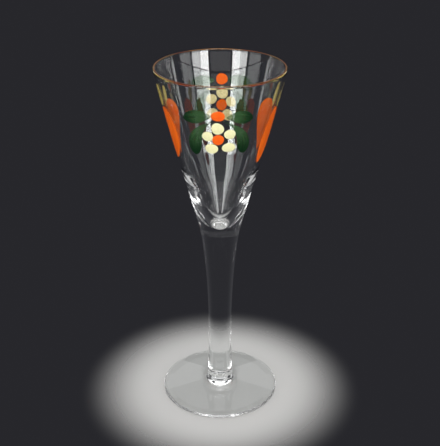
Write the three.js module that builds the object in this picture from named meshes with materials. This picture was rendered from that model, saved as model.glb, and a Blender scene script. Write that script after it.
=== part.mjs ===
// A tall schnapps glass: a conical bowl on a slim waisted stem and a round foot, with a gold line
// on the lip and painted enamel round the bowl. Two flowers face the front and the back, and two
// tulips face the sides. Millimetres, +Z up, origin at the middle of the plane the glass rests on,
// and the first flower faces -Y.
import * as THREE from 'three';

// Facets round every turned piece, and the distance at which two points of a profile are one
const AROUND = 60;
const SAME_POINT = 0.0001;

// Foot
const FOOT_RADIUS = 27.3;
const FOOT_EDGE = 1.7;
const REST_RING_OUTER = 25.6;
const REST_RING_WIDTH = 3;
const UNDERSIDE_RISE = 1;
const HUB_HEIGHT = 6;
const HUB_RADIUS = 6.1;
const HUB_FLARE = 3.6;
const SHOULDER_HEIGHT = 4.3;

// Stem, which is welded to the hub of the foot and to the throat of the bowl
const STEM_LENGTH = 74;
const STEM_BASE_RADIUS = 6.2;
const WELD_ROUNDING = 0.4;
const BASE_SLOPE = -0.09;
const WAIST_RADIUS = 5.35;
const WAIST_HEIGHT = 28;
const THROAT_RADIUS = 8.1;
const THROAT_SLOPE = 0.13;

// Bowl, whose heights are above the throat
const BOWL_HEIGHT = 79.5;
const RIM_RADIUS = 28;
const RIM_SLOPE = 0.225;
const CONE_HEIGHT = 18;
const CONE_RADIUS = 12.3;
const CONE_SLOPE = 0.262;
const LIP_WALL = 1.1;
const LOW_WALL = 2.2;
const TURN_HEIGHT = 24;
const TURN_SLOPE = 0.38;
const TURN_PULL = 0.75;
const FLOOR_HEIGHT = 7.5;
const FLOOR_BREADTH = 3.5;

// Gold line on the lip
const BAND_HEIGHT = 0.5;

// Enamel, laid on the wall as separate brush strokes with bare glass between them
const ENAMEL_GAP = 0.3;
const ENAMEL_THICKNESS = 0.3;
const FLOWER_DROP = 23.5;
const CENTRE_DIAMETER = 4.7;
const PETAL_DIAMETER = 4.8;
const PETAL_COUNT = 5;
const PETAL_GAP = 0.35;
const BERRY_DIAMETER = 5;
const BERRY_GAP = 1.4;
const LEAF_WIDTH = 5.2;
const LEAF_GAP = 0.7;
const UPPER_LEAF_LENGTH = 11.7;
const UPPER_LEAF_DROOP = 2.8;
const LOWER_LEAF_LENGTH = 15.2;
const LOWER_LEAF_BULGE = 9;
const TULIP_PETAL_WIDTH = 11;
const TULIP_PETAL_LENGTH = 25;
const TULIP_PETAL_LEAN = 3;
const TULIP_PETAL_RISE = 8.3;
const STAMEN_WIDTH = 2.3;
const STAMEN_LENGTH = 11;
const STAMEN_SPACING = 8.6;
const STAMEN_SHIFT = 3.1;
const STAMEN_DROP = 2.4;
const STAMEN_GAP = 0.7;

const THROAT_Z = HUB_HEIGHT + STEM_LENGTH;
const LIP_Z = THROAT_Z + BOWL_HEIGHT;
const CONE_Z = THROAT_Z + CONE_HEIGHT;
const WALL_LEAN = Math.atan((RIM_RADIUS - CONE_RADIUS) / (LIP_Z - CONE_Z));

// The petals ring the centre, or stand further out where they would not fit side by side
const PETAL_RING_RADIUS = Math.max(
  (CENTRE_DIAMETER + PETAL_DIAMETER) / 2 + PETAL_GAP,
  (PETAL_DIAMETER + PETAL_GAP) / 2 / Math.sin(Math.PI / PETAL_COUNT),
);
const FLOWER_REACH = PETAL_RING_RADIUS + PETAL_DIAMETER / 2;
const BERRY_RISE = FLOWER_REACH + BERRY_GAP + BERRY_DIAMETER / 2;

// The front stamen stands over the front petal, and the back one between the two petals
const FRONT_STAMEN = STAMEN_SHIFT + STAMEN_SPACING / 2;
const BACK_STAMEN = STAMEN_SHIFT - STAMEN_SPACING / 2;
const TULIP_OPENING = 2 * (Math.abs(BACK_STAMEN) + STAMEN_WIDTH / 2 + STAMEN_GAP);

const COLOURS = {
  glass: 0xe6eeee,
  gold: 0xcf9a3c,
  orange: 0xf5641b,
  cream: 0xf6efc0,
  green: 0x25552f,
  yellow: 0xcdbb62,
};

function glassMaterial() {
  return new THREE.MeshStandardMaterial({ color: COLOURS.glass, roughness: 0.05, metalness: 0 });
}

function goldMaterial() {
  return new THREE.MeshStandardMaterial({ color: COLOURS.gold, roughness: 0.25, metalness: 1 });
}

function enamelMaterial(colour) {
  return new THREE.MeshStandardMaterial({ color: COLOURS[colour], roughness: 0.3, metalness: 0 });
}

// The radius at height z on the smooth curve between two heights, each with its radius and slope
function flowingRadius(z, low, high) {
  const span = high.z - low.z;
  const t = (z - low.z) / span;
  const rise = t * t * (3 - 2 * t);
  const leave = t * (1 - t) * (1 - t) * span;
  const arrive = t * t * (t - 1) * span;
  return low.r * (1 - rise) + high.r * rise + low.slope * leave + high.slope * arrive;
}

const STEM_BASE = { z: HUB_HEIGHT + WELD_ROUNDING, r: STEM_BASE_RADIUS, slope: BASE_SLOPE };
const WAIST = { z: HUB_HEIGHT + WAIST_HEIGHT, r: WAIST_RADIUS, slope: 0 };
const THROAT = { z: THROAT_Z, r: THROAT_RADIUS, slope: THROAT_SLOPE };
const CONE = { z: CONE_Z, r: CONE_RADIUS, slope: CONE_SLOPE };
const LIP = { z: LIP_Z, r: RIM_RADIUS, slope: RIM_SLOPE };

function wallRadius(z) {
  return z < CONE.z ? flowingRadius(z, THROAT, CONE) : flowingRadius(z, CONE, LIP);
}

// Points of a curve given as radius by height, from one height to another
function flowingPoints(radiusAt, fromZ, toZ, steps) {
  const points = [];
  for (let i = 0; i <= steps; i += 1) {
    const z = fromZ + ((toZ - fromZ) * i) / steps;
    points.push(new THREE.Vector2(radiusAt(z), z));
  }
  return points;
}

function quarterArc(centreR, centreZ, radiusR, radiusZ, start, steps) {
  const arc = new THREE.EllipseCurve(centreR, centreZ, radiusR, radiusZ, start, start + Math.PI / 2);
  return arc.getPoints(steps);
}

// Turns a profile of (radius, height) about the Z axis. The profile runs up the outside.
function turned(name, profile, material) {
  const distinct = profile.filter((p, i) => i === 0 || p.distanceTo(profile[i - 1]) > SAME_POINT);
  const geometry = new THREE.LatheGeometry(distinct, AROUND);
  geometry.rotateX(Math.PI / 2);
  const mesh = new THREE.Mesh(geometry, material);
  mesh.name = name;
  return mesh;
}

function foot() {
  const halfEdge = FOOT_EDGE / 2;
  const edgeRun = FOOT_RADIUS - REST_RING_OUTER;
  const restInner = REST_RING_OUTER - REST_RING_WIDTH;
  const shoulder = new THREE.Vector2(HUB_RADIUS + HUB_FLARE, SHOULDER_HEIGHT);
  const underside = new THREE.QuadraticBezierCurve(
    new THREE.Vector2(0, UNDERSIDE_RISE),
    new THREE.Vector2(restInner / 2, UNDERSIDE_RISE),
    new THREE.Vector2(restInner, 0),
  );
  const flare = new THREE.QuadraticBezierCurve(
    shoulder,
    new THREE.Vector2(HUB_RADIUS + HUB_FLARE / 5, (SHOULDER_HEIGHT + HUB_HEIGHT) / 2 - HUB_FLARE / 10),
    new THREE.Vector2(HUB_RADIUS, HUB_HEIGHT),
  );
  return turned('foot', [
    ...underside.getPoints(4),
    ...quarterArc(REST_RING_OUTER, halfEdge, edgeRun, halfEdge, -Math.PI / 2, 4),
    ...quarterArc(FOOT_RADIUS - halfEdge, halfEdge, halfEdge, halfEdge, 0, 4),
    ...flare.getPoints(4),
    new THREE.Vector2(0, HUB_HEIGHT),
  ], glassMaterial());
}

function stem() {
  const lower = (z) => flowingRadius(z, STEM_BASE, WAIST);
  const upper = (z) => flowingRadius(z, WAIST, THROAT);
  const innerEdge = STEM_BASE_RADIUS - WELD_ROUNDING;
  return turned('stem', [
    new THREE.Vector2(0, HUB_HEIGHT),
    ...quarterArc(innerEdge, STEM_BASE.z, WELD_ROUNDING, WELD_ROUNDING, -Math.PI / 2, 3),
    ...flowingPoints(lower, STEM_BASE.z, WAIST.z, 5),
    ...flowingPoints(upper, WAIST.z, THROAT.z, 8),
    new THREE.Vector2(0, THROAT_Z),
  ], glassMaterial());
}

// The wall thins evenly from the turn of the floor up to the lip
function innerRadius(z) {
  const turnZ = THROAT_Z + TURN_HEIGHT;
  const share = (z - turnZ) / (LIP_Z - turnZ);
  return wallRadius(z) - LOW_WALL + (LOW_WALL - LIP_WALL) * share;
}

function bowl() {
  const turnZ = THROAT_Z + TURN_HEIGHT;
  const floorZ = THROAT_Z + FLOOR_HEIGHT;
  const reach = (turnZ - floorZ) * TURN_PULL;
  const roundFloor = new THREE.CubicBezierCurve(
    new THREE.Vector2(innerRadius(turnZ), turnZ),
    new THREE.Vector2(innerRadius(turnZ) - reach * TURN_SLOPE, turnZ - reach),
    new THREE.Vector2(FLOOR_BREADTH, floorZ),
    new THREE.Vector2(0, floorZ),
  );
  return turned('bowl', [
    new THREE.Vector2(0, THROAT_Z),
    ...flowingPoints(wallRadius, THROAT_Z, CONE_Z, 5),
    ...flowingPoints(wallRadius, CONE_Z, LIP_Z, 7),
    ...flowingPoints(innerRadius, LIP_Z, turnZ, 6),
    ...roundFloor.getPoints(7),
  ], glassMaterial());
}

// The gold line caps the flat top of the lip with a round bead
function rimBand() {
  const middle = RIM_RADIUS - LIP_WALL / 2;
  return turned('rim_band', [
    ...quarterArc(middle, LIP_Z, LIP_WALL / 2, BAND_HEIGHT, 0, 3),
    ...quarterArc(middle, LIP_Z, LIP_WALL / 2, BAND_HEIGHT, Math.PI / 2, 3),
    new THREE.Vector2(RIM_RADIUS, LIP_Z),
  ], goldMaterial());
}

// A place on the bowl's wall: across is the distance round the bowl from the middle of a motif,
// up is the distance up the slope from the flower's centre, and lift is the height off the wall.
function onWall(facing, across, up, lift) {
  const z = LIP_Z - FLOWER_DROP + up * Math.cos(WALL_LEAN);
  const angle = facing + across / wallRadius(z);
  const radius = wallRadius(z) + lift * Math.cos(WALL_LEAN);
  return [radius * Math.sin(angle), -radius * Math.cos(angle), z - lift * Math.sin(WALL_LEAN)];
}

// How full a stroke is at t along it, up to 1: a start or an end of 0.5 is round, and of 1 pointed
function fullness(t, start, end) {
  const peak = start / (start + end);
  const shape = (s) => s ** start * (1 - s) ** end;
  return shape(t) / shape(peak);
}

// One brush stroke: a raised pad of enamel that follows a path on the wall
function stroke(name, colour, facing, path, width, taper) {
  const { along = 8, lanes = 2, start = 0.5, end = 0.5 } = taper;
  const positions = [];
  const rows = [];
  for (let i = 0; i <= along; i += 1) {
    const t = (1 - Math.cos((Math.PI * i) / along)) / 2;
    const at = path.getPoint(t);
    const tangent = path.getTangent(t);
    const isTip = i === 0 || i === along;
    const half = isTip ? 0 : (width / 2) * fullness(t, start, end);
    const row = { under: [], over: [] };
    for (let j = 0; j <= (isTip ? 0 : lanes); j += 1) {
      const side = half * ((2 * j) / lanes - 1);
      const place = [at.x + tangent.y * side, at.y - tangent.x * side];
      row.under.push(positions.push(onWall(facing, ...place, ENAMEL_GAP)) - 1);
      row.over.push(positions.push(onWall(facing, ...place, ENAMEL_GAP + ENAMEL_THICKNESS)) - 1);
    }
    rows.push(row);
  }
  const faces = [];
  for (let i = 0; i < along; i += 1) {
    faces.push(...sheetBetween(rows[i].over, rows[i + 1].over));
    faces.push(...sheetBetween(rows[i].under, rows[i + 1].under).map((f) => [f[0], f[2], f[1]]));
    faces.push(...edgeBetween(rows[i], rows[i + 1], 0));
    faces.push(...edgeBetween(rows[i], rows[i + 1], -1).map((f) => [f[0], f[2], f[1]]));
  }
  const geometry = new THREE.BufferGeometry();
  geometry.setAttribute('position', new THREE.Float32BufferAttribute(positions.flat(), 3));
  geometry.setIndex(faces.flat());
  geometry.computeVertexNormals();
  const mesh = new THREE.Mesh(geometry, enamelMaterial(colour));
  mesh.name = name;
  return mesh;
}

// Triangles between two rows of points, either of which may be a single tip
function sheetBetween(near, far) {
  const faces = [];
  for (let j = 0; j < Math.max(near.length, far.length) - 1; j += 1) {
    if (near.length > 1) faces.push([near[j], near[j + 1], far[Math.min(j, far.length - 1)]]);
    if (far.length > 1) faces.push([near[Math.min(j + 1, near.length - 1)], far[j + 1], far[j]]);
  }
  return faces;
}

// The narrow side face between two rows, at their first or last point
function edgeBetween(near, far, place) {
  const [a, b] = [near.under.at(place), near.over.at(place)];
  const [c, d] = [far.under.at(place), far.over.at(place)];
  return [[a, b, d], [a, d, c]];
}

function dot(name, colour, facing, across, up, diameter) {
  const path = new THREE.LineCurve(
    new THREE.Vector2(across, up - diameter / 2),
    new THREE.Vector2(across, up + diameter / 2),
  );
  return stroke(name, colour, facing, path, diameter, {});
}

function curvedPath(from, bend, to) {
  return new THREE.QuadraticBezierCurve(
    new THREE.Vector2(...from),
    new THREE.Vector2(...bend),
    new THREE.Vector2(...to),
  );
}

// The upper leaf runs out level from the berry and droops to its round end
function upperLeaf(turn) {
  const root = BERRY_DIAMETER / 2 + LEAF_GAP;
  return curvedPath(
    [root * turn, BERRY_RISE],
    [(root + UPPER_LEAF_LENGTH * 0.6) * turn, BERRY_RISE - UPPER_LEAF_DROOP * 0.3],
    [(root + UPPER_LEAF_LENGTH) * turn, BERRY_RISE - UPPER_LEAF_DROOP],
  );
}

// The lower leaf starts above the flower and curls down round it, clear of its petals
function lowerLeaf(turn) {
  const top = FLOWER_REACH + LEAF_GAP;
  const tip = FLOWER_REACH + LEAF_GAP + LEAF_WIDTH / 8;
  return curvedPath(
    [PETAL_DIAMETER * 0.6 * turn, top],
    [(tip + LOWER_LEAF_BULGE * 0.6 + LEAF_WIDTH / 8) * turn, top - LOWER_LEAF_LENGTH * 0.42],
    [tip * turn, top - LOWER_LEAF_LENGTH],
  );
}

// A flower: a ring of dots round a centre, a berry above it, and two leaves on each side
function flower(side, facing) {
  const pieces = new THREE.Group();
  pieces.add(dot(`${side}_flower_centre`, 'orange', facing, 0, 0, CENTRE_DIAMETER));
  pieces.add(dot(`${side}_berry`, 'orange', facing, 0, BERRY_RISE, BERRY_DIAMETER));
  for (let i = 0; i < PETAL_COUNT; i += 1) {
    const angle = (2 * Math.PI * i) / PETAL_COUNT;
    const across = PETAL_RING_RADIUS * Math.sin(angle);
    const up = PETAL_RING_RADIUS * Math.cos(angle);
    pieces.add(dot(`${side}_petal_${i + 1}`, 'cream', facing, across, up, PETAL_DIAMETER));
  }
  const leaf = { along: 10, start: 0.9, end: 0.5 };
  for (const [hand, turn] of [['left', -1], ['right', 1]]) {
    pieces.add(stroke(`${side}_upper_leaf_${hand}`, 'green', facing, upperLeaf(turn), LEAF_WIDTH, leaf));
    pieces.add(stroke(`${side}_lower_leaf_${hand}`, 'green', facing, lowerLeaf(turn), LEAF_WIDTH, leaf));
  }
  return pieces;
}

// A tulip's petal tapers down to its tip, which leans in towards the other petal's
function tulipPetal(turn) {
  const middle = (TULIP_OPENING + TULIP_PETAL_WIDTH) / 2;
  const tip = TULIP_PETAL_RISE - TULIP_PETAL_LENGTH;
  return curvedPath(
    [(middle - TULIP_PETAL_LEAN) * turn, tip],
    [(middle - TULIP_PETAL_LEAN * 0.2) * turn, tip + TULIP_PETAL_LENGTH * 0.5],
    [middle * turn, TULIP_PETAL_RISE],
  );
}

function stamen(across, start) {
  return new THREE.LineCurve(
    new THREE.Vector2(across, start),
    new THREE.Vector2(across, start + STAMEN_LENGTH),
  );
}

// A tulip: two broad petals and two thin stamens. Front is the turn that leads to the first flower.
function tulip(side, facing, front) {
  const pieces = new THREE.Group();
  const broad = { along: 10, lanes: 4, start: 1.15, end: 0.5 };
  const thin = { along: 6 };
  const overPetal = TULIP_PETAL_RISE + STAMEN_GAP;
  for (const [end, turn] of [['front', front], ['back', -front]]) {
    const name = `${side}_tulip_petal_${end}`;
    pieces.add(stroke(name, 'orange', facing, tulipPetal(turn), TULIP_PETAL_WIDTH, broad));
  }
  for (const [end, path] of [
    ['front', stamen(FRONT_STAMEN * front, overPetal)],
    ['back', stamen(BACK_STAMEN * front, overPetal - STAMEN_DROP)],
  ]) {
    pieces.add(stroke(`${side}_stamen_${end}`, 'yellow', facing, path, STAMEN_WIDTH, thin));
  }
  return pieces;
}

const glass = new THREE.Group();
glass.add(foot(), stem(), bowl(), rimBand());
glass.add(flower('front', 0), flower('back', Math.PI));
glass.add(tulip('right', Math.PI / 2, -1), tulip('left', -Math.PI / 2, 1));

export default glass;
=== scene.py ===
import math

import bmesh
import bpy
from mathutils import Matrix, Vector


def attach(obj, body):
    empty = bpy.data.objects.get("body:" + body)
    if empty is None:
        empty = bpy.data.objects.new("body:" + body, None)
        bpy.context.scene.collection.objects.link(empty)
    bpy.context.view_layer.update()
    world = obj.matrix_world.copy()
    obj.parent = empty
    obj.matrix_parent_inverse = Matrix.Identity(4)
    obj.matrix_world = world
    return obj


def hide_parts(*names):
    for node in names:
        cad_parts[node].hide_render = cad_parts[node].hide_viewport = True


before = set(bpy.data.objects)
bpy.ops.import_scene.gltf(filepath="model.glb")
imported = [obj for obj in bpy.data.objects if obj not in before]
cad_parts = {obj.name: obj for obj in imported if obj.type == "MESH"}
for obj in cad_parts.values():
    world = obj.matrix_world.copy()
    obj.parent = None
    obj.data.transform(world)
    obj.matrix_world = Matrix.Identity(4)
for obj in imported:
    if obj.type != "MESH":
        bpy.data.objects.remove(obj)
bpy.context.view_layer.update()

# Foot: a round disc of clear glass, conical on top and slightly hollow below.
# It was drawn out hot from a gather on the end of the stem, and its edge was rounded in the flame.
# It stands on a flat ring just inside that edge.
MM = 0.001
STEPS_AROUND = 192
TOUCHING = 0.001 * MM
SHARP_ANGLE = math.radians(38)
GLASS_TINT = (0.985, 0.995, 0.992)
GLASS_IOR = 1.51
LET_THROUGH = (0.975, 0.98, 0.98)
LET_THROUGH_AT_EDGE = (0.55, 0.57, 0.57)
FOOT_RADIUS = 27.3 * MM
FOOT_EDGE = 1.7 * MM
REST_RING_OUTER = 25.6 * MM
REST_RING_INNER = 22.6 * MM
UNDERSIDE_RISE = 1.0 * MM
HUB_HEIGHT = 6.0 * MM
HUB_RADIUS = 6.1 * MM
SHOULDER = (9.7 * MM, 4.3 * MM)
HUB_PULL = (6.82 * MM, 4.79 * MM)
FOOT_WELD_RADIUS = 5.8 * MM


def bend(handles, count):
    """Points along the line that its handles pull, after the first one."""
    points = []
    for step in range(1, count + 1):
        row = [Vector(handle) for handle in handles]
        while len(row) > 1:
            row = [here.lerp(there, step / count) for here, there in zip(row, row[1:])]
        points.append(row[0])
    return points


def round_off(centre, wide, high, start, end, count=8):
    """Points round an edge, from one angle to another in degrees: 0 is outward and 90 is up."""
    points = []
    for step in range(count + 1):
        angle = math.radians(start + (end - start) * step / count)
        points.append(
            Vector((centre[0] + wide * math.cos(angle), centre[1] + high * math.sin(angle)))
        )
    return points


def two_tones(tree, low, low_tone, high, high_tone):
    """A node that runs from one tone to another between two values."""
    tones = tree.nodes.new("ShaderNodeValToRGB")
    first, last = tones.color_ramp.elements
    first.position = low
    first.color = (*low_tone, 1)
    last.position = high
    last.color = (*high_tone, 1)
    return tones


def blown_glass():
    """Clear glass. Lamps shine through it on what stands behind, and less so at its edges."""
    material = bpy.data.materials.new("clear_glass")
    material.use_nodes = True
    tree = material.node_tree
    tree.nodes.clear()
    glass = tree.nodes.new("ShaderNodeBsdfPrincipled")
    glass.inputs["Base Color"].default_value = (*GLASS_TINT, 1)
    glass.inputs["Roughness"].default_value = 0
    glass.inputs["IOR"].default_value = GLASS_IOR
    glass.inputs["Transmission Weight"].default_value = 1
    edge = tree.nodes.new("ShaderNodeLayerWeight")
    edge.inputs["Blend"].default_value = 0.5
    shade = two_tones(tree, 0.8, LET_THROUGH, 1.0, LET_THROUGH_AT_EDGE)
    clear = tree.nodes.new("ShaderNodeBsdfTransparent")
    path = tree.nodes.new("ShaderNodeLightPath")
    mix = tree.nodes.new("ShaderNodeMixShader")
    output = tree.nodes.new("ShaderNodeOutputMaterial")
    tree.links.new(edge.outputs["Facing"], shade.inputs["Fac"])
    tree.links.new(shade.outputs["Color"], clear.inputs["Color"])
    tree.links.new(path.outputs["Is Shadow Ray"], mix.inputs["Fac"])
    tree.links.new(glass.outputs["BSDF"], mix.inputs[1])
    tree.links.new(clear.outputs["BSDF"], mix.inputs[2])
    tree.links.new(mix.outputs["Shader"], output.inputs["Surface"])
    return material


def fused_seam():
    """Where two hot glass bodies ran together, nothing shows."""
    material = bpy.data.materials.new("fused_seam")
    material.use_nodes = True
    tree = material.node_tree
    tree.nodes.clear()
    clear = tree.nodes.new("ShaderNodeBsdfTransparent")
    output = tree.nodes.new("ShaderNodeOutputMaterial")
    tree.links.new(clear.outputs["BSDF"], output.inputs["Surface"])
    return material


def set_down(mesh, name, node, materials):
    """Makes the piece from its mesh, in place of its CAD node."""
    data = bpy.data.meshes.new(name)
    mesh.to_mesh(data)
    mesh.free()
    for material in materials:
        data.materials.append(material)
    data.shade_smooth()
    data.set_sharp_from_angle(angle=SHARP_ANGLE)
    piece = bpy.data.objects.new(name, data)
    bpy.context.scene.collection.objects.link(piece)
    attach(piece, "root")
    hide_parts(node)


def turn(outline, closed=False):
    """A glass body turned round the axis from its outline of radius and height."""
    mesh = bmesh.new()
    points = [mesh.verts.new((radius, 0, height)) for radius, height in outline]
    pairs = list(zip(points, points[1:]))
    if closed:
        pairs.append((points[-1], points[0]))
    edges = [mesh.edges.new(pair) for pair in pairs]
    bmesh.ops.spin(
        mesh,
        geom=points + edges,
        cent=(0, 0, 0),
        axis=(0, 0, 1),
        dvec=(0, 0, 0),
        angle=math.tau,
        steps=STEPS_AROUND,
        use_merge=True,
    )
    bmesh.ops.remove_doubles(mesh, verts=mesh.verts, dist=TOUCHING)
    bmesh.ops.recalc_face_normals(mesh, faces=mesh.faces)
    return mesh


def mark_seam(mesh, height, radius):
    """Gives the faces of a weld the finish that doesn't show."""
    for face in mesh.faces:
        level = all(abs(point.co.z - height) < TOUCHING for point in face.verts)
        if level and all(point.co.xy.length < radius + TOUCHING for point in face.verts):
            face.material_index = 1


clear_glass = blown_glass()
seam = fused_seam()

foot_outline = [Vector((0, UNDERSIDE_RISE))]
foot_outline += bend(
    [(0, UNDERSIDE_RISE), (REST_RING_INNER / 2, UNDERSIDE_RISE), (REST_RING_INNER, 0)], count=24
)
foot_outline += bend([(REST_RING_INNER, 0), (REST_RING_OUTER, 0)], count=4)
foot_outline += round_off(
    (REST_RING_OUTER, FOOT_EDGE / 2), FOOT_RADIUS - REST_RING_OUTER, FOOT_EDGE / 2, start=-90, end=0
)[1:]
foot_outline += round_off(
    (FOOT_RADIUS - FOOT_EDGE / 2, FOOT_EDGE / 2), FOOT_EDGE / 2, FOOT_EDGE / 2, start=0, end=90
)[1:]
foot_outline += bend([(FOOT_RADIUS - FOOT_EDGE / 2, FOOT_EDGE), SHOULDER], count=12)
foot_outline += bend([SHOULDER, HUB_PULL, (HUB_RADIUS, HUB_HEIGHT)], count=12)
foot_outline += [Vector((FOOT_WELD_RADIUS, HUB_HEIGHT)), Vector((0, HUB_HEIGHT))]
foot_mesh = turn(foot_outline)
mark_seam(foot_mesh, HUB_HEIGHT, FOOT_WELD_RADIUS)
set_down(foot_mesh, "glass_foot", "foot", [clear_glass, seam])

# Stem: a solid drawn rod of clear glass, narrowest about a third of the way up.
# Both its ends were welded hot, and its lower end kept a small round edge.
# Each place on its outline has a height, a radius, and a slope that the outside has there.
STEM_BASE = (6.4 * MM, 6.2 * MM, -0.09)
WAIST = (34 * MM, 5.35 * MM, 0)
THROAT = (80 * MM, 8.1 * MM, 0.13)
WELD_ROUNDING = 0.4 * MM


def flowing_radius(height, low, high):
    """The radius between two places with a height, a radius and a slope each."""
    span = high[0] - low[0]
    share = (height - low[0]) / span
    rise = share * share * (3 - 2 * share)
    leave = share * (1 - share) ** 2 * span
    arrive = share * share * (share - 1) * span
    return low[1] * (1 - rise) + high[1] * rise + low[2] * leave + high[2] * arrive


def flowing_line(low, high, count):
    """Points of radius and height from one place to the next, after the first one."""
    heights = [low[0] + (high[0] - low[0]) * step / count for step in range(1, count + 1)]
    return [Vector((flowing_radius(height, low, high), height)) for height in heights]


stem_outline = [Vector((0, HUB_HEIGHT)), Vector((FOOT_WELD_RADIUS, HUB_HEIGHT))]
stem_outline += round_off(
    (FOOT_WELD_RADIUS, STEM_BASE[0]), WELD_ROUNDING, WELD_ROUNDING, start=-90, end=0, count=6
)[1:]
stem_outline += flowing_line(STEM_BASE, WAIST, count=28)
stem_outline += flowing_line(WAIST, THROAT, count=46)
stem_outline += [Vector((0, THROAT[0]))]
stem_mesh = turn(stem_outline)
mark_seam(stem_mesh, HUB_HEIGHT, FOOT_WELD_RADIUS)
mark_seam(stem_mesh, THROAT[0], THROAT[1])
set_down(stem_mesh, "glass_stem", "stem", [clear_glass, seam])

# Bowl: a tall cone of clear glass, blown, then welded hot to the stem.
# Its wall is nearly even down to the turn, and thickens from there to the glass under its floor.
# Its lip was cut, then rounded in the flame.
CONE = (98 * MM, 12.3 * MM, 0.262)
LIP = (159.5 * MM, 28 * MM, 0.225)
LIP_MIDDLE = (27.43 * MM, 159.4 * MM)
LIP_WALL = 1.1 * MM
LOW_WALL = 1.2 * MM
INNER_STEPS = 54
TURN_HEIGHT = 116 * MM
TURN_SLOPE = 0.40
TURN_PULL = 0.80
FLOOR_HEIGHT = 87.5 * MM
FLOOR_BREADTH = 3.0 * MM


def wall_radius(height):
    """The outside of the bowl."""
    if height < CONE[0]:
        return flowing_radius(height, THROAT, CONE)
    return flowing_radius(height, CONE, LIP)


def inner_radius(height):
    """The inside of the bowl, above the turn."""
    rise = (height - TURN_HEIGHT) / (LIP[0] - TURN_HEIGHT)
    return wall_radius(height) - LOW_WALL + (LOW_WALL - LIP_WALL) * rise


bowl_outline = [Vector((0, THROAT[0])), Vector((THROAT[1], THROAT[0]))]
bowl_outline += flowing_line(THROAT, CONE, count=18)
bowl_outline += flowing_line(CONE, LIP, count=60)[:-1]
bowl_outline += round_off(LIP_MIDDLE, LIP_WALL / 2, LIP_WALL / 2, start=0, end=180, count=10)
for step in range(1, INNER_STEPS + 1):
    height = LIP_MIDDLE[1] + (TURN_HEIGHT - LIP_MIDDLE[1]) * step / INNER_STEPS
    bowl_outline.append(Vector((inner_radius(height), height)))
turn_radius = inner_radius(TURN_HEIGHT)
floor_reach = (TURN_HEIGHT - FLOOR_HEIGHT) * TURN_PULL
bowl_outline += bend(
    [
        (turn_radius, TURN_HEIGHT),
        (turn_radius - floor_reach * TURN_SLOPE, TURN_HEIGHT - floor_reach),
        (FLOOR_BREADTH, FLOOR_HEIGHT),
        (0, FLOOR_HEIGHT),
    ],
    count=40,
)
bowl_mesh = turn(bowl_outline)
mark_seam(bowl_mesh, THROAT[0], THROAT[1])
set_down(bowl_mesh, "glass_bowl", "bowl", [clear_glass, seam])

# Gold line: a film of bright gold lustre, brushed on the top of the lip, then fired.
# It is thin and streaky, and where the glass shows its underside it is a dull red-brown.
GOLD_FILM = 0.03 * MM
GOLD_SINK = 0.05 * MM
GOLD_START = 58
GOLD_END = 125
GOLD_STEPS = 16


def gold_lustre(name, red, yellow):
    """Fired gold, streaky from the brush, with a redder tone where it is thick."""
    material = bpy.data.materials.new(name)
    material.use_nodes = True
    tree = material.node_tree
    gold = tree.nodes["Principled BSDF"]
    gold.inputs["Metallic"].default_value = 0.85
    place = tree.nodes.new("ShaderNodeTexCoord")
    patches = tree.nodes.new("ShaderNodeTexNoise")
    patches.inputs["Scale"].default_value = 90
    patches.inputs["Detail"].default_value = 3
    tint = two_tones(tree, 0.38, red, 0.58, yellow)
    grain = tree.nodes.new("ShaderNodeTexNoise")
    grain.inputs["Scale"].default_value = 2600
    grain.inputs["Detail"].default_value = 4
    matt = tree.nodes.new("ShaderNodeMapRange")
    matt.inputs["To Min"].default_value = 0.26
    matt.inputs["To Max"].default_value = 0.46
    bump = tree.nodes.new("ShaderNodeBump")
    bump.inputs["Strength"].default_value = 0.25
    bump.inputs["Distance"].default_value = 0.02 * MM
    tree.links.new(place.outputs["Object"], patches.inputs["Vector"])
    tree.links.new(place.outputs["Object"], grain.inputs["Vector"])
    tree.links.new(patches.outputs["Fac"], tint.inputs["Fac"])
    tree.links.new(tint.outputs["Color"], gold.inputs["Base Color"])
    tree.links.new(grain.outputs["Fac"], matt.inputs["Value"])
    tree.links.new(matt.outputs["Result"], gold.inputs["Roughness"])
    tree.links.new(grain.outputs["Fac"], bump.inputs["Height"])
    tree.links.new(bump.outputs["Normal"], gold.inputs["Normal"])
    return material


film_top = LIP_WALL / 2 + GOLD_FILM
film_bottom = film_top - GOLD_SINK
gold_outline = round_off(LIP_MIDDLE, film_top, film_top, GOLD_START, GOLD_END, GOLD_STEPS)
gold_outline += round_off(LIP_MIDDLE, film_bottom, film_bottom, GOLD_END, GOLD_START, GOLD_STEPS)
gold_mesh = turn(gold_outline, closed=True)
for face in gold_mesh.faces:
    middle = face.calc_center_median()
    place = Vector((middle.xy.length, middle.z)) - Vector(LIP_MIDDLE)
    face.material_index = int(place.length < LIP_WALL / 2)
gold_outside = gold_lustre("gold_lustre", red=(0.24, 0.055, 0.018), yellow=(0.33, 0.15, 0.040))
gold_inside = gold_lustre(
    "gold_lustre_through_glass", red=(0.05, 0.018, 0.010), yellow=(0.12, 0.045, 0.018)
)
set_down(gold_mesh, "gold_lip_line", "rim_band", [gold_outside, gold_inside])

# Flowers: on the front and the back of the bowl, an orange dot in a ring of five cream ones,
# and an orange berry above. They are thick opaque enamel, dabbed on one by one with the tip of
# a brush, then fired to a low dome. Through the glass the enamel is duller and finely pitted.
MOTIF_HEIGHT = 136 * MM
WALL_LEAN = math.atan((LIP[1] - CONE[1]) / (LIP[0] - CONE[0]))
FLOWER_SIDES = {"front": 0, "back": math.pi}
DOT_THICKNESS = 0.2 * MM
DOT_OVAL = 0.035
DOT_LUMP = 0.02
DOT_LUMP_TURN = 2.3
NEXT_DOT_TURN = 1.7
PAINT_SINK = 0.04 * MM
PLACE_SHIFT = 60


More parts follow.
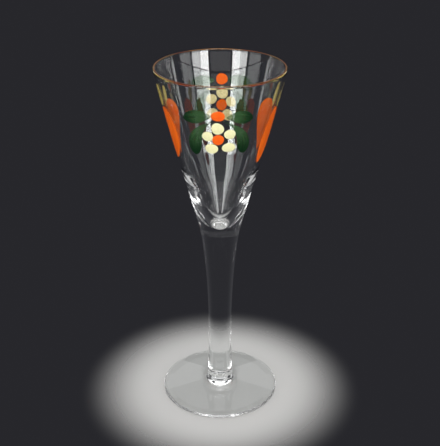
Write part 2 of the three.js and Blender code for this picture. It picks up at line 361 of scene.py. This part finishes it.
def on_wall(facing, across, up, lift):
    """A point of a stroke on the outside of the bowl. Across and up are from the motif's middle,
    to the right and along the wall, and lift is how far it stands off the wall."""
    height = MOTIF_HEIGHT + up * math.cos(WALL_LEAN)
    angle = facing + across / wall_radius(height)
    radius = wall_radius(height) + lift * math.cos(WALL_LEAN)
    height -= lift * math.sin(WALL_LEAN)
    return Vector((radius * math.sin(angle), -radius * math.cos(angle), height))


def enamel(name, dark, bright, streaks, thin=None, pooled=None, shine=0.5):
    """Fired enamel. Streaks is how often the paint changes along and across a stroke. Thin gives
    its cover at the start of the stroke, at its end and in its thinnest streaks, and pooled is
    its colour where it ran together. The side that is fused to the glass has no shine."""
    material = bpy.data.materials.new(name)
    material.use_nodes = True
    tree = material.node_tree
    paint = tree.nodes["Principled BSDF"]
    paint.inputs["Specular IOR Level"].default_value = shine
    place = tree.nodes.new("ShaderNodeTexCoord")
    stretch = tree.nodes.new("ShaderNodeMapping")
    stretch.inputs["Scale"].default_value = (*streaks, 1)
    drift = tree.nodes.new("ShaderNodeTexNoise")
    drift.inputs["Scale"].default_value = 1
    drift.inputs["Detail"].default_value = 4
    drift.inputs["Roughness"].default_value = 0.55
    shift = tree.nodes.new("ShaderNodeVectorMath")
    shift.operation = "MULTIPLY_ADD"
    shift.inputs[1].default_value = (PLACE_SHIFT, PLACE_SHIFT, PLACE_SHIFT)
    tint = two_tones(tree, 0.36, dark, 0.62, bright)
    grain = tree.nodes.new("ShaderNodeTexNoise")
    grain.inputs["Scale"].default_value = 2200
    grain.inputs["Detail"].default_value = 2
    matt = tree.nodes.new("ShaderNodeMapRange")
    matt.inputs["To Min"].default_value = 0.23
    matt.inputs["To Max"].default_value = 0.4
    bump = tree.nodes.new("ShaderNodeBump")
    bump.inputs["Strength"].default_value = 0.35
    bump.inputs["Distance"].default_value = 0.03 * MM
    tree.links.new(place.outputs["UV"], stretch.inputs["Vector"])
    tree.links.new(place.outputs["Object"], shift.inputs[0])
    tree.links.new(stretch.outputs["Vector"], shift.inputs[2])
    tree.links.new(shift.outputs["Vector"], drift.inputs["Vector"])
    tree.links.new(place.outputs["Object"], grain.inputs["Vector"])
    tree.links.new(drift.outputs["Fac"], tint.inputs["Fac"])
    tree.links.new(tint.outputs["Color"], paint.inputs["Base Color"])
    tree.links.new(grain.outputs["Fac"], matt.inputs["Value"])
    tree.links.new(matt.outputs["Result"], paint.inputs["Roughness"])
    tree.links.new(drift.outputs["Fac"], bump.inputs["Height"])
    tree.links.new(bump.outputs["Normal"], paint.inputs["Normal"])
    if pooled or thin:
        split = tree.nodes.new("ShaderNodeSeparateXYZ")
        tree.links.new(place.outputs["UV"], split.inputs["Vector"])
    if pooled:
        depth = tree.nodes.new("ShaderNodeMapRange")
        depth.interpolation_type = "SMOOTHSTEP"
        depth.inputs["From Min"].default_value = 0.35
        depth.inputs["From Max"].default_value = 0.95
        run = tree.nodes.new("ShaderNodeMix")
        run.data_type = "RGBA"
        run.inputs["B"].default_value = (*pooled, 1)
        tree.links.new(split.outputs["X"], depth.inputs["Value"])
        tree.links.new(depth.outputs["Result"], run.inputs["Factor"])
        tree.links.new(tint.outputs["Color"], run.inputs["A"])
        tree.links.new(run.outputs["Result"], paint.inputs["Base Color"])
    if thin:
        cover = tree.nodes.new("ShaderNodeMapRange")
        cover.interpolation_type = "SMOOTHSTEP"
        cover.inputs["To Min"].default_value = thin[0]
        cover.inputs["To Max"].default_value = thin[1]
        patch = tree.nodes.new("ShaderNodeMapRange")
        patch.inputs["From Min"].default_value = 0.35
        patch.inputs["From Max"].default_value = 0.6
        patch.inputs["To Min"].default_value = thin[2]
        patch.inputs["To Max"].default_value = 1
        both = tree.nodes.new("ShaderNodeMath")
        both.operation = "MULTIPLY"
        tree.links.new(split.outputs["X"], cover.inputs["Value"])
        tree.links.new(drift.outputs["Fac"], patch.inputs["Value"])
        tree.links.new(cover.outputs["Result"], both.inputs[0])
        tree.links.new(patch.outputs["Result"], both.inputs[1])
        tree.links.new(both.outputs["Value"], paint.inputs["Alpha"])
    return material


def paint_map(mesh, along_across):
    """Gives the mesh its own map, along the stroke and across it."""
    layer = mesh.loops.layers.uv.new("stroke")
    for face in mesh.faces:
        for corner in face.loops:
            corner[layer].uv = along_across[corner.vert]


def dab(name, facing, middle, size, wobble, node, finishes):
    """One dot: a low dome that a full brush left, not quite round."""
    mesh = bmesh.new()
    bmesh.ops.create_uvsphere(mesh, u_segments=48, v_segments=16, radius=1)
    places = {}
    for point in mesh.verts:
        places[point] = (point.co.x * 0.5 + 0.5, point.co.y * 0.5 + 0.5)
    paint_map(mesh, places)
    for face in mesh.faces:
        face.material_index = 1 if face.calc_center_median().z < 0 else 0
    for point in mesh.verts:
        x, y, z = point.co
        angle = math.atan2(y, x)
        oval = DOT_OVAL * math.sin(2 * angle + wobble)
        lump = DOT_LUMP * math.sin(3 * angle + DOT_LUMP_TURN * wobble)
        swell = 1 + oval + lump
        lift = z * DOT_THICKNESS if z > 0 else z * PAINT_SINK
        across = (middle[0] + x * swell * size[0] / 2) * MM
        up = (middle[1] + y * swell * size[1] / 2) * MM
        point.co = on_wall(facing, across, up, lift)
    set_down(mesh, name, node, finishes)


orange_enamel = enamel(
    "orange_enamel", dark=(0.80, 0.112, 0.003), bright=(0.98, 0.160, 0.005), streaks=(1.2, 9)
)
orange_dots = enamel(
    "orange_enamel_dots", dark=(0.80, 0.100, 0.007), bright=(0.88, 0.135, 0.010), streaks=(2.5, 2.5)
)
# Painted light: the tulip petals' orange on the side seen through the glass is painted lighter than
# the same enamel outside, to make up for the lamp light that the glass holds back from it.
orange_inside_painted_lighter = enamel(
    "orange_enamel_through_glass_painted_lighter",
    dark=(0.98, 0.130, 0.001), bright=(1.0, 0.165, 0.003), streaks=(1.2, 9), shine=0,
)
orange_dots_inside = enamel(
    "orange_enamel_dots_through_glass",
    dark=(0.74, 0.095, 0.001), bright=(0.86, 0.135, 0.003), streaks=(9, 9), shine=0,
)
cream_enamel = enamel(
    "cream_enamel", dark=(0.76, 0.73, 0.40), bright=(0.83, 0.80, 0.48), streaks=(2.5, 2.5)
)
cream_inside = enamel(
    "cream_enamel_through_glass",
    dark=(0.64, 0.52, 0.24), bright=(0.94, 0.80, 0.42), streaks=(9, 9), shine=0,
)

# Each dot's middle and its size, across and up, in millimetres.
DOTS = {
    "flower_centre": ((-0.3, 0.0), (4.8, 4.9)),
    "berry": ((-0.3, 11.3), (5.4, 4.8)),
    "petal_1": ((-0.5, 5.4), (5.2, 5.4)),
    "petal_2": ((4.5, 2.6), (4.9, 4.5)),
    "petal_3": ((4.0, -3.8), (5.5, 4.5)),
    "petal_4": ((-3.0, -4.4), (5.2, 4.9)),
    "petal_5": ((-4.6, 1.5), (4.7, 4.6)),
}
for side, facing in FLOWER_SIDES.items():
    for number, (part, (middle, size)) in enumerate(DOTS.items()):
        node = f"{side}_{part}"
        wobble = number * NEXT_DOT_TURN + facing
        if part.startswith("petal"):
            slot, finishes = "cream_enamel", [cream_enamel, cream_inside]
        else:
            slot, finishes = "orange_enamel", [orange_dots, orange_dots_inside]
        dab(f"enamel_{node}", facing, middle, size, wobble, node, finishes)

# Leaves: two pairs to each flower, in green enamel, each one pull of a soft brush.
# The paint is thin and streaky near the berry, and pooled dark at the round end.
LEAF_THICKNESS = 0.09 * MM
NARROW_SHARE = 0.2
STROKE_MERGE = 0.002 * MM


def fullness(share, start, end):
    """How wide a stroke is along its length, as a share of its widest place."""
    peak = start / (start + end)
    return share**start * (1 - share) ** end / (peak**start * (1 - peak) ** end)


def stroke(name, facing, line, width, ends, thickness, node, slot, finishes):
    """One pull of the brush along a line, laid on the bowl as a thin pad with rounded sides. The
    paint is thinner where the stroke is narrow."""
    mesh = bmesh.new()
    bmesh.ops.create_grid(mesh, x_segments=44, y_segments=12, size=1)
    bmesh.ops.solidify(mesh, geom=mesh.faces, thickness=1)
    bmesh.ops.recalc_face_normals(mesh, faces=mesh.faces)
    levels = [point.co.z for point in mesh.verts]
    middle = (max(levels) + min(levels)) / 2
    places, tops = {}, {}
    for point in mesh.verts:
        along = (1 - math.cos(math.pi * (point.co.x + 1) / 2)) / 2
        places[point] = (along, point.co.y * 0.5 + 0.5)
        tops[point] = point.co.z > middle
    paint_map(mesh, places)
    for face in mesh.faces:
        face.material_index = 0 if any(tops[point] for point in face.verts) else 1
    for point, (along, side) in places.items():
        across = side * 2 - 1
        start, pull, end = (Vector(handle) for handle in line)
        spot = start * (1 - along) ** 2 + pull * 2 * along * (1 - along) + end * along**2
        course = ((pull - start) * (1 - along) + (end - pull) * along).normalized()
        half = width / 2 * fullness(along, *ends)
        spot += Vector((-course.y, course.x)) * half * across
        dome = math.sqrt(max(0, 1 - across**2)) * min(1, half / (width * NARROW_SHARE))
        lift = dome * thickness if tops[point] else -PAINT_SINK
        point.co = on_wall(facing, spot.x * MM, spot.y * MM, lift)
    bmesh.ops.remove_doubles(mesh, verts=mesh.verts, dist=STROKE_MERGE)
    bmesh.ops.dissolve_degenerate(mesh, edges=mesh.edges, dist=TOUCHING)
    bmesh.ops.recalc_face_normals(mesh, faces=mesh.faces)
    set_down(mesh, name, node, finishes)


LEAF_PAINT = {
    "dark": (0.020, 0.064, 0.018),
    "bright": (0.054, 0.132, 0.048),
    "streaks": (1.3, 5),
    "thin": (0.45, 1.0, 0.85),
    "pooled": (0.001, 0.020, 0.004),
}
green_enamel = enamel("green_enamel", **LEAF_PAINT)
green_inside = enamel("green_enamel_through_glass", **LEAF_PAINT, shine=0)

# Each stroke's line from its start to its end, across and up, and its width, in millimetres.
# The last pair says how slowly it widens from its start and to its end: 0.5 is round.
LEAVES = {
    "upper_leaf_left": ([(-3.0, 11.1), (-8.5, 11.2), (-15.5, 8.8)], 6.0, (0.9, 0.65)),
    "upper_leaf_right": ([(2.9, 10.5), (9.0, 11.0), (14.4, 9.1)], 6.0, (0.9, 0.65)),
    "lower_leaf_left": ([(-2.3, 8.85), (-12.6, 3.5), (-9.3, -8.0)], 5.9, (1.3, 0.5)),
    "lower_leaf_right": ([(1.7, 9.0), (12.55, 4.1), (9.6, -7.2)], 5.5, (1.5, 0.5)),
}
for side, facing in FLOWER_SIDES.items():
    for part, (line, width, ends) in LEAVES.items():
        node = f"{side}_{part}"
        stroke(
            f"enamel_{node}", facing, line, width, ends,
            LEAF_THICKNESS, node, "green_enamel", [green_enamel, green_inside],
        )

# Tulips: on the left and the right of the bowl, two broad petals in orange enamel, each one pull
# of the brush that starts as a point at the bottom. Two yellow strokes stand over them, one above
# the front petal and one between the two, and one of the four was laid with a drier brush.
PETAL_THICKNESS = 0.13 * MM
STAMEN_THICKNESS = 0.08 * MM
STAMEN_PAINT = {"dark": (0.48, 0.35, 0.08), "bright": (0.62, 0.48, 0.14), "streaks": (1.5, 5)}
yellow_enamel = enamel("yellow_enamel", **STAMEN_PAINT, thin=(1.0, 0.6, 0.85))
yellow_worn = enamel("yellow_enamel_dry_brush", **STAMEN_PAINT, thin=(0.50, 0.15, 0.4))
# Painted light: the yellow on the side seen through the glass is painted much lighter than the same
# enamel outside, to make up for the lamp light that the glass holds back from it.
yellow_inside_painted_lighter = enamel(
    "yellow_enamel_through_glass_painted_lighter",
    dark=(0.76, 0.57, 0.13), bright=(1.0, 0.80, 0.26), streaks=(1.5, 5),
    thin=(1.0, 0.65, 0.9), shine=0,
)

TULIPS = {
    "left_tulip_petal_front": ([(5.2, -14.8), (9.6, -6.5), (9.6, 9.6)], 12.4, (1.0, 0.42)),
    "left_tulip_petal_back": ([(-3.0, -16.4), (-3.4, -3.0), (-7.2, 7.6)], 13.6, (1.1, 0.44)),
    "right_tulip_petal_front": ([(-10.2, -15.2), (-7.6, -8.0), (-9.4, 10.0)], 9.8, (0.75, 0.45)),
    "right_tulip_petal_back": ([(7.2, -16.0), (7.2, -4.0), (9.4, 7.6)], 13.8, (1.1, 0.46)),
    "left_stamen_front": ([(6.6, 9.6), (7.2, 14.5), (7.6, 19.2)], 5.2, (0.5, 0.5)),
    "left_stamen_back": ([(-0.6, 6.0), (-2.6, 10.5), (-4.6, 14.4)], 5.4, (0.5, 0.5)),
    "right_stamen_front": ([(-7.0, 9.6), (-7.0, 13.4), (-7.4, 17.0)], 2.6, (0.5, 0.5)),
    "right_stamen_back": ([(3.6, 5.9), (2.8, 11.5), (1.4, 17.4)], 5.2, (0.5, 0.5)),
}
for node, (line, width, ends) in TULIPS.items():
    facing = math.pi / 2 if node.startswith("right") else -math.pi / 2
    if "petal" in node:
        look = PETAL_THICKNESS, node, "orange_enamel", [orange_enamel, orange_inside_painted_lighter]
    elif node == "right_stamen_front":
        look = STAMEN_THICKNESS, node, "yellow_enamel", [yellow_worn, yellow_worn]
    else:
        look = STAMEN_THICKNESS, node, "yellow_enamel", [yellow_enamel, yellow_inside_painted_lighter]
    stroke(f"enamel_{node}", facing, line, width, ends, *look)

# Floor: a plain, pale and matt top, just under the foot's rest ring.
# It fades out round the foot, into the dark of the room.
FLOOR_RADIUS = 0.6
FLOOR_DROP = 0.1 * MM
FLOOR_COLOUR = (0.47, 0.465, 0.455)
PALE_REACH = 29 * MM
DARK_REACH = 70 * MM

floor_mesh = bmesh.new()
bmesh.ops.create_circle(floor_mesh, cap_ends=True, segments=96, radius=FLOOR_RADIUS)
bmesh.ops.translate(floor_mesh, verts=floor_mesh.verts, vec=(0, 0, -FLOOR_DROP))
floor_data = bpy.data.meshes.new("floor")
floor_mesh.to_mesh(floor_data)
floor_mesh.free()
floor = bpy.data.objects.new("floor", floor_data)
bpy.context.scene.collection.objects.link(floor)
floor_paint = bpy.data.materials.new("pale_floor")
floor_paint.use_nodes = True
floor_tree = floor_paint.node_tree
floor_matt = floor_tree.nodes["Principled BSDF"]
floor_matt.inputs["Base Color"].default_value = (*FLOOR_COLOUR, 1)
floor_matt.inputs["Roughness"].default_value = 0.9
floor_matt.inputs["Specular IOR Level"].default_value = 0.1
floor_place = floor_tree.nodes.new("ShaderNodeTexCoord")
floor_length = floor_tree.nodes.new("ShaderNodeVectorMath")
floor_length.operation = "LENGTH"
floor_fade = floor_tree.nodes.new("ShaderNodeMapRange")
floor_fade.interpolation_type = "SMOOTHERSTEP"
floor_fade.inputs["From Min"].default_value = PALE_REACH
floor_fade.inputs["From Max"].default_value = DARK_REACH
floor_clear = floor_tree.nodes.new("ShaderNodeBsdfTransparent")
floor_mix = floor_tree.nodes.new("ShaderNodeMixShader")
floor_shown = floor_tree.nodes["Material Output"]
floor_tree.links.new(floor_place.outputs["Object"], floor_length.inputs[0])
floor_tree.links.new(floor_length.outputs["Value"], floor_fade.inputs["Value"])
floor_tree.links.new(floor_fade.outputs["Result"], floor_mix.inputs["Fac"])
floor_tree.links.new(floor_matt.outputs["BSDF"], floor_mix.inputs[1])
floor_tree.links.new(floor_clear.outputs["BSDF"], floor_mix.inputs[2])
floor_tree.links.new(floor_mix.outputs["Shader"], floor_shown.inputs["Surface"])
floor_data.materials.append(floor_paint)

# Room: plain and dark behind the glass, and a little lighter towards the other side.
# The enamel and the floor get a soft even light from all of it.
DARK_ROOM = (0.0205, 0.0205, 0.0245)
DIM_ROOM = (0.060, 0.060, 0.066)
SOFT_ROOM = (0.12, 0.12, 0.125)
BEHIND_GLASS = (0, 0.899, -0.438)

world = bpy.data.worlds.new("room")
bpy.context.scene.world = world
world.use_nodes = True
room_tree = world.node_tree
room_tree.nodes.clear()
dark = room_tree.nodes.new("ShaderNodeBackground")
soft = room_tree.nodes.new("ShaderNodeBackground")
soft.inputs["Color"].default_value = (*SOFT_ROOM, 1)
seen = room_tree.nodes.new("ShaderNodeLightPath")
either = room_tree.nodes.new("ShaderNodeMath")
either.operation = "MAXIMUM"
any_of = room_tree.nodes.new("ShaderNodeMath")
any_of.operation = "MAXIMUM"
choose = room_tree.nodes.new("ShaderNodeMixShader")
towards = room_tree.nodes.new("ShaderNodeTexCoord")
behind = room_tree.nodes.new("ShaderNodeVectorMath")
behind.operation = "DOT_PRODUCT"
behind.inputs[1].default_value = BEHIND_GLASS
depth = two_tones(room_tree, 0.35, DIM_ROOM, 0.93, DARK_ROOM)
depth.color_ramp.interpolation = "EASE"
shown = room_tree.nodes.new("ShaderNodeOutputWorld")
room_tree.links.new(towards.outputs["Generated"], behind.inputs[0])
room_tree.links.new(behind.outputs["Value"], depth.inputs["Fac"])
room_tree.links.new(depth.outputs["Color"], dark.inputs["Color"])
room_tree.links.new(seen.outputs["Is Camera Ray"], either.inputs[0])
room_tree.links.new(seen.outputs["Is Glossy Ray"], either.inputs[1])
room_tree.links.new(either.outputs["Value"], any_of.inputs[0])
room_tree.links.new(seen.outputs["Is Transmission Ray"], any_of.inputs[1])
room_tree.links.new(any_of.outputs["Value"], choose.inputs["Fac"])
room_tree.links.new(soft.outputs["Background"], choose.inputs[1])
room_tree.links.new(dark.outputs["Background"], choose.inputs[2])
room_tree.links.new(choose.outputs["Shader"], shown.inputs["Surface"])

# Lamps: a tall soft window to the left and to the right of the camera, each with a dimmer
# curtain beside it, faint lights round the sides, in front and behind, and one overhead.
LAMP_DISTANCE = 1.2
BOWL_MIDDLE = Vector((0, 0, 0.12))


def soft_lamp(name, azimuth, height, wide, high, power, distance=LAMP_DISTANCE):
    """A plain soft lamp that faces the bowl. Azimuth is from the camera's side, to the right."""
    lamp = bpy.data.lights.new(name, "AREA")
    lamp.shape = "RECTANGLE"
    lamp.size = wide
    lamp.size_y = high
    lamp.energy = power
    holder = bpy.data.objects.new(name, lamp)
    bpy.context.scene.collection.objects.link(holder)
    turned = math.radians(azimuth)
    holder.location = (distance * math.sin(turned), -distance * math.cos(turned), height)
    aim = BOWL_MIDDLE - holder.location
    holder.rotation_euler = aim.to_track_quat("-Z", "Y").to_euler()
    holder.visible_camera = False


soft_lamp("left_window", azimuth=-29.5, height=0.38, wide=0.32, high=0.66, power=7.4)
soft_lamp("left_curtain", azimuth=-43.5, height=0.42, wide=0.27, high=0.58, power=3.2)
soft_lamp("left_side_light", azimuth=-66, height=0.40, wide=0.50, high=0.50, power=1.1)
soft_lamp("left_far_light", azimuth=-99, height=0.38, wide=0.10, high=0.50, power=0.5)
soft_lamp("left_edge_light", azimuth=-143, height=0.34, wide=0.30, high=0.50, power=0.4)
soft_lamp("right_window", azimuth=30.2, height=0.38, wide=0.32, high=0.66, power=7.4)
soft_lamp("right_curtain", azimuth=46, height=0.42, wide=0.34, high=0.58, power=3.6)
soft_lamp("right_side_light", azimuth=68, height=0.40, wide=0.46, high=0.50, power=1.1)
soft_lamp("right_far_light", azimuth=99, height=0.38, wide=0.10, high=0.50, power=0.5)
soft_lamp("right_edge_light", azimuth=143, height=0.34, wide=0.30, high=0.50, power=0.4)
soft_lamp("front_light", azimuth=0, height=0.50, wide=0.84, high=0.32, power=0.37)
soft_lamp("back_light", azimuth=180, height=0.72, wide=0.90, high=0.45, power=0.9)
soft_lamp("overhead", azimuth=0, height=1.3, wide=0.9, high=0.9, power=12, distance=0.05)

# Camera: a little above the rim, looking down at the flower on the front of the glass.
# The light is followed through the many walls of glass that stand behind each other.
CAMERA_DISTANCE = 0.3636
CAMERA_HEIGHT = 0.2669
CAMERA_TURN = math.radians(1.2)
CAMERA_PITCH = math.radians(26.22)
CAMERA_SENSOR = 36
CAMERA_LENS = 72.95

camera_data = bpy.data.cameras.new("camera")
camera_data.sensor_width = CAMERA_SENSOR
camera_data.lens = CAMERA_LENS
camera = bpy.data.objects.new("camera", camera_data)
bpy.context.scene.collection.objects.link(camera)
camera.location = (
    CAMERA_DISTANCE * math.sin(CAMERA_TURN),
    -CAMERA_DISTANCE * math.cos(CAMERA_TURN),
    CAMERA_HEIGHT,
)
camera.rotation_euler = (math.pi / 2 - CAMERA_PITCH, 0, CAMERA_TURN)
bpy.context.scene.camera = camera

scene = bpy.context.scene
scene.view_settings.view_transform = "Standard"
scene.cycles.max_bounces = 24
scene.cycles.transmission_bounces = 24
scene.cycles.glossy_bounces = 16
scene.cycles.transparent_max_bounces = 32
scene.cycles.caustics_reflective = False
scene.cycles.caustics_refractive = False
